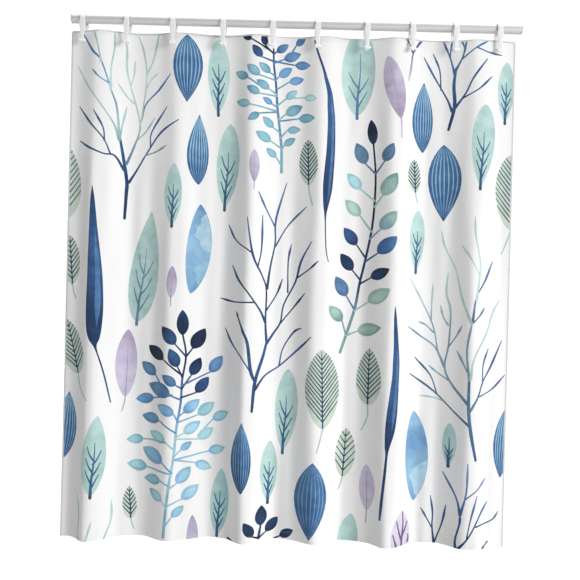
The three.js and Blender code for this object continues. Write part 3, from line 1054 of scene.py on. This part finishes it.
def stitch_row(start, end):
    """Points and faces of one straight row of stitches on the printed side."""
    start, end = np.array(start, float), np.array(end, float)
    run = (end - start) / np.linalg.norm(end - start)
    side = np.array([-run[1], run[0]])
    count = int(np.linalg.norm(end - start) / STITCH_PITCH)
    along = STITCH_LENGTH * np.array([-0.5, -0.32, 0.32, 0.5])
    lift = np.array([-0.2, 0.14, 0.14, -0.2]) + CLOTH_THICKNESS / 2
    centres = start + run * STITCH_PITCH * (np.arange(count)[:, None] + 0.5)
    flat, height = [], []
    for step, up in zip(along, lift):
        for across, rise in ((1, 0), (0, 1), (-1, 0), (0, -1)):
            flat.append(centres + run * step + side * across * THREAD_RADIUS)
            height.append(np.full(count, up + rise * THREAD_RADIUS))
    flat, height = np.stack(flat, 1).reshape(-1, 2), np.stack(height, 1).ravel()
    rings, corners = len(along), 4
    starts = rings * corners * np.arange(count)[:, None, None]
    faces = (np.array(skin(rings, corners)) + starts).reshape(-1, 4)
    return on_cloth(flat[:, 0], flat[:, 1], height), faces


def stitching(name, rows):
    points, faces, start = [], [], 0
    for row in rows:
        row_points, row_faces = stitch_row(*row)
        points.append(row_points)
        faces.append(row_faces + start)
        start += len(row_points)
    mesh = mesh_of(name, np.vstack(points), np.vstack(faces))
    mesh.materials.append(FINISHES.thread)
    return as_object(name, mesh)


# ---- Turned and lofted pieces ----


def facing_out(mesh, sharp=40):
    made = bmesh.new()
    made.from_mesh(mesh)
    bmesh.ops.recalc_face_normals(made, faces=made.faces)
    made.to_mesh(mesh)
    made.free()
    mesh.set_sharp_from_angle(angle=math.radians(sharp))
    return mesh


def lathe(name, profile, sides, origin, across, up, axis, closed=True):
    """Turns (radius, height) millimetre corners about an axis. A closed profile makes a ring."""
    origin, across, up, axis = (np.array(vector, float) for vector in (origin, across, up, axis))
    angles = np.linspace(0, 2 * np.pi, sides, endpoint=False)
    spokes = np.cos(angles)[:, None] * across + np.sin(angles)[:, None] * up
    rings = [origin + (radius * spokes + height * axis) * MM for radius, height in profile]
    return facing_out(mesh_of(name, np.vstack(rings), skin(len(profile), sides, closed)))


def arc(centre, radii, start, end, count):
    angles = np.radians(np.linspace(start, end, count))
    return [(centre[0] + radii[0] * math.cos(a), centre[1] + radii[1] * math.sin(a)) for a in angles]


def rounded_ring(half_width, half_height, corners=20, squareness=3.6):
    """A rounded rectangle about its own centre."""
    angles = np.linspace(0, 2 * np.pi, corners, endpoint=False)
    power = 2 / squareness
    across = np.sign(np.cos(angles)) * np.abs(np.cos(angles)) ** power * half_width
    return across, np.sign(np.sin(angles)) * np.abs(np.sin(angles)) ** power * half_height


def loft(name, rings):
    """A closed skin over rings with the same number of points, in millimetres."""
    rings = np.asarray(rings, float)
    return facing_out(mesh_of(name, rings.reshape(-1, 3) * MM, skin(*rings.shape[:2])), sharp=60)


def joined(name, meshes):
    """One solid from several that overlap."""
    base, *others = [as_object(f"{name}_{i}", mesh) for i, mesh in enumerate(meshes)]
    for other in others:
        union = base.modifiers.new(other.name, "BOOLEAN")
        union.operation, union.object, union.solver = "UNION", other, "EXACT"
    now = bpy.context.evaluated_depsgraph_get()
    mesh = bpy.data.meshes.new_from_object(base.evaluated_get(now), depsgraph=now)
    mesh.name = name
    for piece in (base, *others):
        bpy.data.objects.remove(piece)
    mesh.polygons.foreach_set("use_smooth", [True] * len(mesh.polygons))
    mesh.set_sharp_from_angle(angle=math.radians(50))
    return mesh


# ---- Rod ----

ALONG, AWAY, UP = (1, 0, 0), (0, 1, 0), (0, 0, 1)
ROD_WALL = 1.2
CAP_THICKNESS = 3.0
PLUG_DEPTH = 20.0
ROUND_SIDES = 96


def rod_tube():
    radius, edge = ROD_RADIUS, 0.4
    inner = radius - ROD_WALL
    start, end = ROD_LOW[0] / MM, ROD_HIGH[0] / MM
    stations = np.linspace(start + edge, end - edge, 9)
    outside = [(radius, place) for place in stations]
    profile = [(inner, start), (radius - edge, start), *outside, (radius - edge, end), (inner, end)]
    mesh = lathe("rod_tube_drawn", profile, ROUND_SIDES, (0, 0, 0), AWAY, UP, ALONG)
    mesh.materials.append(FINISHES.rod)
    return as_object("rod_tube_drawn", mesh)


def rod_cap(name, end, inward):
    """A push-in cap with a rounded rim, from its outer face, which is so many metres along the rod."""
    radius = ROD_RADIUS
    plug = radius - ROD_WALL - 0.3
    deep = CAP_THICKNESS + PLUG_DEPTH
    rim = arc((radius - 1.1, 1.1), (1.1, 1.1), -90, 0, 6)
    profile = [
        (radius * 0.45, 0.25), (radius * 0.7, 0.12), *rim, (radius, CAP_THICKNESS - 0.3),
        (radius - 0.3, CAP_THICKNESS), (plug, CAP_THICKNESS), (plug, deep - 1), (plug - 0.6, deep),
        (plug - 2.5, deep), (plug - 2.5, CAP_THICKNESS + 0.5),
    ]
    mesh = lathe(name, profile, ROUND_SIDES, (end, 0, 0), AWAY, UP, (inward, 0, 0), closed=False)
    mesh.materials.append(FINISHES.cap)
    return as_object(name, mesh)


# ---- Hooks and eyelets ----

HOOK_MIDLINE = 21.5  # from the rod's axis plane to the middle of each arm
HOOK_HALF_THICKNESS = 1.5
ARC_CENTRE = -3.7  # height of the middle of the bend over the rod
BACK_END, FRONT_END = -81.0, -78.0
TOE = [(-22.3, -81.5, 257), (-24.0, -84.5, 240)]  # where the front arm leans out to the foot
FOOT_HALF_WIDTH = 13.2
PEG_RADIUS = 2.0
PEG_HEIGHT = -74.0
PEG_SIDES, EYELET_SIDES = 24, 48
ROUNDED_END = (0.72, 0.93)  # share of the full size at the last places of each arm
# Half the strap's width at a height.
HOOK_WIDTHS = [(-81, 6.6), (-60, 7.0), (-46, 7.4), (-38, 9.0), (-29, 11.0), (-20, 11.2), (-8, 9.4), (0, 9.2)]


def strap_line():
    """The middle of the bent strap as (y, z, slope angle), up the back, over the rod, down the front."""
    line = [(HOOK_MIDLINE, z, 90) for z in np.linspace(BACK_END, ARC_CENTRE, 22)[:-1]]
    for angle in np.linspace(0, 180, 25):
        turn = math.radians(angle)
        out, up = HOOK_MIDLINE * math.cos(turn), HOOK_MIDLINE * math.sin(turn)
        line.append((out, ARC_CENTRE + up, 90 + angle))
    line += [(-HOOK_MIDLINE, z, 270) for z in np.linspace(ARC_CENTRE, FRONT_END, 22)[1:]]
    return line + TOE


def strap():
    line = strap_line()
    heights, widths = zip(*HOOK_WIDTHS)
    rings = []
    for i, (y, z, angle) in enumerate(line):
        from_end = min(i, len(line) - 1 - i)
        size = ROUNDED_END[from_end] if from_end < len(ROUNDED_END) else 1.0
        half_width = np.interp(z, heights, widths) * size
        across, through = rounded_ring(half_width, HOOK_HALF_THICKNESS * size)
        turn = math.radians(angle - 90)
        rings.append(np.stack([across, y + through * math.cos(turn), z + through * math.sin(turn)], -1))
    return loft("strap", rings)


def foot_bar(name, depth, middle_height, drop, radii, lobes):
    """A bar across the hook's foot that dips to a V in the middle and swells into two lobes."""
    rings = []
    for share in np.sin(np.linspace(-np.pi / 2, np.pi / 2, 19)):
        full = max(1 - abs(share) ** 3.5, 0.004) ** 0.5
        swell = 1 + lobes * (0.5 - 0.5 * math.cos(2 * math.pi * min(abs(share) / 0.95, 1)))
        out, up = rounded_ring(radii[0] * full * swell, radii[1] * full * swell, 18, 2.4)
        height = middle_height + drop * abs(share) ** 0.85
        x = np.full_like(out, share * FOOT_HALF_WIDTH)
        rings.append(np.stack([x, depth + out, height + up], -1))
    return loft(name, rings)


def peg():
    """The pin through the eyelet, from the back arm almost to the front one."""
    profile = [(0.9, -19.3), (1.6, -18.9), (PEG_RADIUS, -18.2), (PEG_RADIUS, 0), (PEG_RADIUS, 18.5)]
    profile += [(3.2, 20.2), (3.2, 21.0)]
    return lathe("peg", profile, PEG_SIDES, (0, 0, PEG_HEIGHT * MM), ALONG, UP, AWAY, closed=False)


def hook_mesh():
    parts = [
        strap(),
        foot_bar("lobes", depth=-25.0, middle_height=-86.8, drop=3.2, radii=(3.3, 4.2), lobes=0.22),
        foot_bar("lip", depth=-27.6, middle_height=-91.0, drop=4.2, radii=(1.2, 1.3), lobes=0.0),
        peg(),
    ]
    mesh = joined("snap_hook", parts)
    mesh.materials.append(FINISHES.hook)
    return mesh


def eyelet(name, hook, profile):
    """A ring square to the flat patch of cloth at a hook."""
    centre, slope = chord(hook)
    turn = math.atan(slope)
    across = (math.cos(turn), math.sin(turn), 0)
    away = (-math.sin(turn), math.cos(turn), 0)
    origin = np.array([hook, centre, CLOTH_TOP - EYELET_BELOW]) * MM
    mesh = lathe(name, profile, EYELET_SIDES, origin, across, UP, away)
    mesh.materials.append(FINISHES.eyelet)
    return as_object(name, mesh)


# Profiles as (radius, distance behind the cloth's middle layer).
EYELET_BARREL = [(4.8, 1.9), (5.1, 2.3), (5.5, 2.3), (5.6, 1.9), (5.6, -0.35)]
EYELET_FRONT = [*arc((6.8, -0.35), (2.0, 1.5), 0, -180, 11), *EYELET_BARREL]
EYELET_BACK = arc((7.4, 1.2), (1.4, 1.3), 0, 180, 9)


# ---- The object ----

rod = [
    (rod_tube(), "rod_tube", "rod_metal"),
    (rod_cap("rod_cap_left", 0, 1), "rod_end_cap_left", "rod_cap"),
    (rod_cap("rod_cap_right", ROD_LENGTH, -1), "rod_end_cap_right", "rod_cap"),
]
for piece, cad_node, slot in rod:
    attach(piece, "rod")
    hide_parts(cad_node)

hook_shape = hook_mesh()
for k, x in zip(HOOKS, HOOK_X):
    mesh = hook_shape.copy()
    hook = as_object(f"snap_hook_{k}", mesh)
    hook.location.x = x * MM
    hanger = [
        (hook, f"hook_{k}", "hook_plastic"),
        (eyelet(f"eyelet_ring_{k}", x, EYELET_FRONT), f"eyelet_front_{k}", "eyelet_plastic"),
        (eyelet(f"eyelet_washer_{k}", x, EYELET_BACK), f"eyelet_back_{k}", "eyelet_plastic"),
    ]
    for piece, cad_node, slot in hanger:
        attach(piece, f"hanger_{k}")
        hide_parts(cad_node)

HEADER_HEIGHT, HEM_HEIGHT, SIDE_HEM, HEM_GAP = 90.0, 30.0, 14.0, 0.5
EDGE_MARGIN = 1.0
SEAM = 4.0  # from an edge to the stitches beside it
hem_top = CLOTH_DROP - HEM_HEIGHT
hem_rows = (HEADER_HEIGHT + HEM_GAP, hem_top - HEM_GAP)
whole_width = (EDGE_MARGIN, CLOTH_WIDTH - EDGE_MARGIN)
curtain = curtain_cloth()
soft_pieces = [
    (curtain, "curtain_cloth", "cloth"),
    (hem("sewn_header", whole_width, (EDGE_MARGIN, HEADER_HEIGHT), FINISHES.header, HOOK_X),
     "header_band", "header"),
    (hem("sewn_bottom_hem", whole_width, (hem_top, CLOTH_DROP - EDGE_MARGIN), FINISHES.hem),
     "bottom_hem", "hem"),
    (hem("sewn_left_hem", (EDGE_MARGIN, SIDE_HEM), hem_rows, FINISHES.hem), "side_hem_left", "hem"),
    (hem("sewn_right_hem", (CLOTH_WIDTH - SIDE_HEM, CLOTH_WIDTH - EDGE_MARGIN), hem_rows, FINISHES.hem),
     "side_hem_right", "hem"),
]
side_seams = (SIDE_HEM - SEAM, CLOTH_WIDTH - SIDE_HEM + SEAM)
stitches = stitching("hem_stitching", [
    ((TOP_CORNER, SEAM), (CLOTH_WIDTH - TOP_CORNER, SEAM)),
    ((SEAM, hem_top + SEAM), (CLOTH_WIDTH - SEAM, hem_top + SEAM)),
    *(((x, HEADER_HEIGHT), (x, hem_top)) for x in side_seams),
])
for piece, cad_node, slot in soft_pieces:
    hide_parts(cad_node)

for piece in (*(row[0] for row in soft_pieces), stitches):
    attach(piece, "hanger_01")
    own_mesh(piece)


# ---- Floor, light and camera ----

FLOOR_BELOW_HEM = 0.16
FLOOR_REACH, FLOOR_TILES = 9.0, 9
floor_height = CLOTH_LOW[2] - FLOOR_BELOW_HEM


def floor():
    finish, tree, principled = material("pale_floor", Roughness=0.9, Specular_IOR_Level=0.1)
    toned(tree, principled, (0.93, 0.93, 0.93), (0.96, 0.96, 0.96), noise(tree, own_place(tree), 3.0))
    reach = np.linspace(-FLOOR_REACH, FLOOR_REACH, FLOOR_TILES + 1)
    points = [(x + ROD_LENGTH / 2, y, floor_height) for y in reach for x in reach]
    across = len(reach)
    corners = [row * across + column for row in range(FLOOR_TILES) for column in range(FLOOR_TILES)]
    faces = [(corner, corner + 1, corner + across + 1, corner + across) for corner in corners]
    mesh = mesh_of("floor", points, faces)
    mesh.materials.append(finish)
    made = as_object("floor", mesh)
    made.visible_diffuse = False  # its light would wash out the folds


def soft_light(name, place, size, power):
    """A round lamp that faces the middle of the curtain."""
    lamp = bpy.data.lights.new(name, "AREA")
    lamp.shape, lamp.size, lamp.energy = "DISK", size, power
    made = as_object(name, lamp)
    made.location = place
    made.rotation_euler = (Vector(CURTAIN_MIDDLE) - Vector(place)).to_track_quat("-Z", "Y").to_euler()


def overhead_light(strength, spread):
    """Even light straight down, which whitens the floor and hardly reaches the hanging cloth."""
    lamp = bpy.data.lights.new("overhead", "SUN")
    lamp.energy, lamp.angle = strength, math.radians(spread)
    as_object("overhead", lamp)


def bright_world():
    """A white room: pure white to the eye, and dimmer as a light, so that folds keep their shade."""
    world = bpy.data.worlds.new("white_room")
    bpy.context.scene.world = world
    world.use_nodes = True
    tree = world.node_tree
    seen = node(tree, "ShaderNodeLightPath", {}).outputs["Is Camera Ray"]
    strength = maths(tree, "MULTIPLY_ADD", seen, WHITE_SEEN - WHITE_LIGHT, WHITE_LIGHT)
    background = tree.nodes["Background"]
    background.inputs["Color"].default_value = (1, 1, 1, 1)
    tree.links.new(strength, background.inputs["Strength"])


CURTAIN_MIDDLE = (ROD_LENGTH / 2, 0, -0.9)
WHITE_SEEN, WHITE_LIGHT = 1.1, 0.43
VIEW_DISTANCE = 2.5
FRAME_WIDTH = 2.062  # across the picture, at the rod's distance
VIEW_HEIGHT = -0.945
VIEW_X = ROD_LENGTH / 2 - 0.001
ROLL = 1.42  # degrees

floor()
bright_world()
soft_light("key", place=(8.0, -5.6, 0.4), size=4.4, power=650)
soft_light("back_fill", place=(-5.0, 6.0, 0.6), size=4.4, power=300)
overhead_light(strength=2.1, spread=50)

camera = bpy.data.cameras.new("camera")
camera.lens = camera.sensor_width * VIEW_DISTANCE / FRAME_WIDTH
eye = as_object("camera", camera)
eye.location = (VIEW_X, -VIEW_DISTANCE, VIEW_HEIGHT)
eye.rotation_euler = (math.radians(90), math.radians(-ROLL), 0)
bpy.context.scene.camera = eye
bpy.context.scene.view_settings.view_transform = "Standard"
